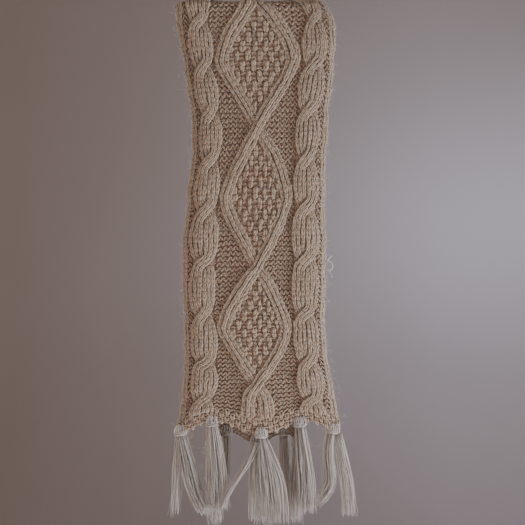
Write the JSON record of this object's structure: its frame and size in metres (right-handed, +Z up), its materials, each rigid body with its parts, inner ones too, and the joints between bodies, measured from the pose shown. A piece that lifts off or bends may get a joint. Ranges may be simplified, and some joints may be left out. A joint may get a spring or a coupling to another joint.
{
  "type": "knit scarf on wall hooks",
  "caption": "Cream cable-knit wool scarf with diamond panels and a knotted fringe, folded in half over a pair of wall coat hooks.",
  "frame": {"origin": "on the wall plane, midway between the two hooks at the height of their plates' centres", "axes": "+Z up, +Y into the wall, +X to the right for a viewer facing the wall"},
  "size_m": [0.1911, 0.0534, 0.6075],
  "materials": {
    "knit_wool": "soft undyed wool, knitted in cables and moss stitch, matt with a fine halo",
    "fringe_wool": "loose plied strands of the same wool",
    "hook_metal": "polished"
  },
  "bodies": {
    "root": {"scarf_front_fall": "knit_wool", "scarf_fold": "knit_wool", "scarf_back_fall": "knit_wool", "tassel_front_1": "fringe_wool", "tassel_front_2": "fringe_wool", "tassel_front_3": "fringe_wool", "tassel_front_4": "fringe_wool", "tassel_front_5": "fringe_wool", "tassel_back_1": "fringe_wool", "tassel_back_2": "fringe_wool", "tassel_back_3": "fringe_wool", "tassel_back_4": "fringe_wool", "tassel_back_5": "fringe_wool", "hook_left_plate": "hook_metal", "hook_left_prong": "hook_metal", "hook_right_plate": "hook_metal", "hook_right_prong": "hook_metal"}
  },
  "joints": []
}
